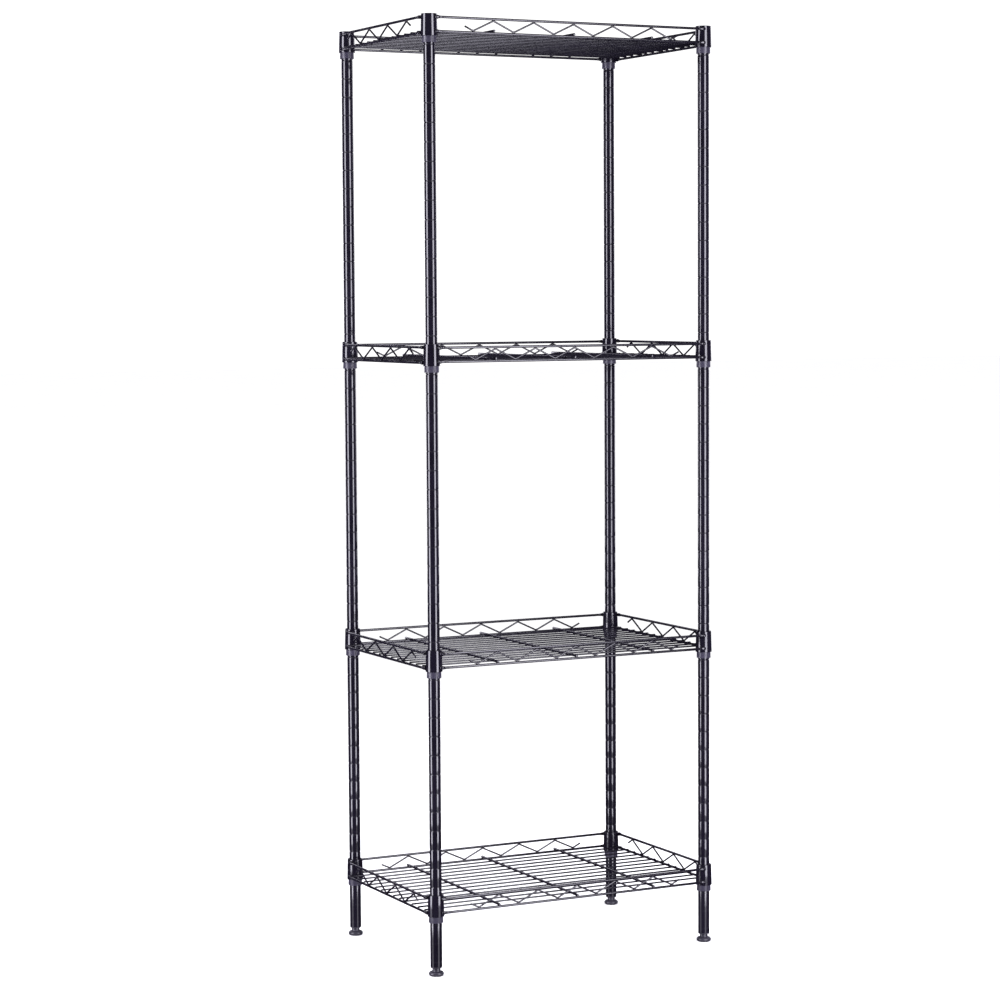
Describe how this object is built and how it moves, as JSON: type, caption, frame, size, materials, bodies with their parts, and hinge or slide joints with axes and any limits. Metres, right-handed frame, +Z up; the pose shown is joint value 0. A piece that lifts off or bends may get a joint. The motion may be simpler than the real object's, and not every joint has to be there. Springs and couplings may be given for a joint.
{
  "type": "wire shelving rack",
  "caption": "Tall narrow rack of welded wire shelves that rest on taper sleeves snapped to grooved tube posts, with screw feet for levelling.",
  "frame": {"origin": "on the floor under the middle of the rack", "axes": "+X to the right along the long side, +Y to the back, +Z up"},
  "size_m": [0.4444, 0.2958, 1.2785],
  "materials": {
    "paint": "gloss black powder coat",
    "plastic": "matte dark grey",
    "zinc": "zinc plated"
  },
  "bodies": {
    "posts": {"post_front_left": "paint", "post_front_right": "paint", "post_rear_left": "paint", "post_rear_right": "paint", "post_cap_front_left": "plastic", "post_cap_front_right": "plastic", "post_cap_rear_left": "plastic", "post_cap_rear_right": "plastic", "leg_insert_front_left": "plastic", "leg_insert_front_right": "plastic", "leg_insert_rear_left": "plastic", "leg_insert_rear_right": "plastic", "top_shelf_sleeve_front_left": "plastic", "top_shelf_sleeve_front_right": "plastic", "top_shelf_sleeve_rear_left": "plastic", "top_shelf_sleeve_rear_right": "plastic", "upper_shelf_sleeve_front_left": "plastic", "upper_shelf_sleeve_front_right": "plastic", "upper_shelf_sleeve_rear_left": "plastic", "upper_shelf_sleeve_rear_right": "plastic", "lower_shelf_sleeve_front_left": "plastic", "lower_shelf_sleeve_front_right": "plastic", "lower_shelf_sleeve_rear_left": "plastic", "lower_shelf_sleeve_rear_right": "plastic", "bottom_shelf_sleeve_front_left": "plastic", "bottom_shelf_sleeve_front_right": "plastic", "bottom_shelf_sleeve_rear_left": "plastic", "bottom_shelf_sleeve_rear_right": "plastic"},
    "top_shelf": {"top_shelf_collars": "paint", "top_shelf_rim_wires": "paint", "top_shelf_base_wires": "paint", "top_shelf_zigzag_wires": "paint", "top_shelf_deck_wires": "paint", "top_shelf_cross_wires": "paint"},
    "upper_shelf": {"upper_shelf_collars": "paint", "upper_shelf_rim_wires": "paint", "upper_shelf_base_wires": "paint", "upper_shelf_zigzag_wires": "paint", "upper_shelf_deck_wires": "paint", "upper_shelf_cross_wires": "paint"},
    "lower_shelf": {"lower_shelf_collars": "paint", "lower_shelf_rim_wires": "paint", "lower_shelf_base_wires": "paint", "lower_shelf_zigzag_wires": "paint", "lower_shelf_deck_wires": "paint", "lower_shelf_cross_wires": "paint"},
    "bottom_shelf": {"bottom_shelf_collars": "paint", "bottom_shelf_rim_wires": "paint", "bottom_shelf_base_wires": "paint", "bottom_shelf_zigzag_wires": "paint", "bottom_shelf_deck_wires": "paint", "bottom_shelf_cross_wires": "paint"},
    "foot_screw_front_left": {"foot_stud_front_left": "zinc"},
    "foot_pad_body_front_left": {"foot_pad_front_left": "plastic"},
    "foot_screw_front_right": {"foot_stud_front_right": "zinc"},
    "foot_pad_body_front_right": {"foot_pad_front_right": "plastic"},
    "foot_screw_rear_left": {"foot_stud_rear_left": "zinc"},
    "foot_pad_body_rear_left": {"foot_pad_rear_left": "plastic"},
    "foot_screw_rear_right": {"foot_stud_rear_right": "zinc"},
    "foot_pad_body_rear_right": {"foot_pad_rear_right": "plastic"}
  },
  "joints": [
    {"name": "top_shelf_lift", "type": "slide", "parent": "posts", "child": "top_shelf", "axis": [0, 0, 1], "range_m": [0, 0.06]},
    {"name": "upper_shelf_lift", "type": "slide", "parent": "posts", "child": "upper_shelf", "axis": [0, 0, 1], "range_m": [0, 0.39]},
    {"name": "lower_shelf_lift", "type": "slide", "parent": "posts", "child": "lower_shelf", "axis": [0, 0, 1], "range_m": [0, 0.365]},
    {"name": "bottom_shelf_lift", "type": "slide", "parent": "posts", "child": "bottom_shelf", "axis": [0, 0, 1], "range_m": [0, 0.29]},
    {"name": "foot_travel_front_left", "type": "slide", "parent": "posts", "child": "foot_screw_front_left", "axis": [0, 0, 1], "range_m": [-0.015, 0]},
    {"name": "foot_turn_front_left", "type": "hinge", "parent": "foot_screw_front_left", "child": "foot_pad_body_front_left", "pos_m": [-0.209, -0.134, 0], "axis": [0, 0, 1], "range_deg": [-4321, 0]},
    {"name": "foot_travel_front_right", "type": "slide", "parent": "posts", "child": "foot_screw_front_right", "axis": [0, 0, 1], "range_m": [-0.015, 0]},
    {"name": "foot_turn_front_right", "type": "hinge", "parent": "foot_screw_front_right", "child": "foot_pad_body_front_right", "pos_m": [0.209, -0.134, 0], "axis": [0, 0, 1], "range_deg": [-4321, 0]},
    {"name": "foot_travel_rear_left", "type": "slide", "parent": "posts", "child": "foot_screw_rear_left", "axis": [0, 0, 1], "range_m": [-0.015, 0]},
    {"name": "foot_turn_rear_left", "type": "hinge", "parent": "foot_screw_rear_left", "child": "foot_pad_body_rear_left", "pos_m": [-0.209, 0.134, 0], "axis": [0, 0, 1], "range_deg": [-4321, 0]},
    {"name": "foot_travel_rear_right", "type": "slide", "parent": "posts", "child": "foot_screw_rear_right", "axis": [0, 0, 1], "range_m": [-0.015, 0]},
    {"name": "foot_turn_rear_right", "type": "hinge", "parent": "foot_screw_rear_right", "child": "foot_pad_body_rear_right", "pos_m": [0.209, 0.134, 0], "axis": [0, 0, 1], "range_deg": [-4321, 0]}
  ],
  "couplings": [
    {"joint": "foot_turn_front_left", "follows": "foot_travel_front_left", "rad_per_m": 5026.5},
    {"joint": "foot_turn_front_right", "follows": "foot_travel_front_right", "rad_per_m": 5026.5},
    {"joint": "foot_turn_rear_left", "follows": "foot_travel_rear_left", "rad_per_m": 5026.5},
    {"joint": "foot_turn_rear_right", "follows": "foot_travel_rear_right", "rad_per_m": 5026.5}
  ]
}
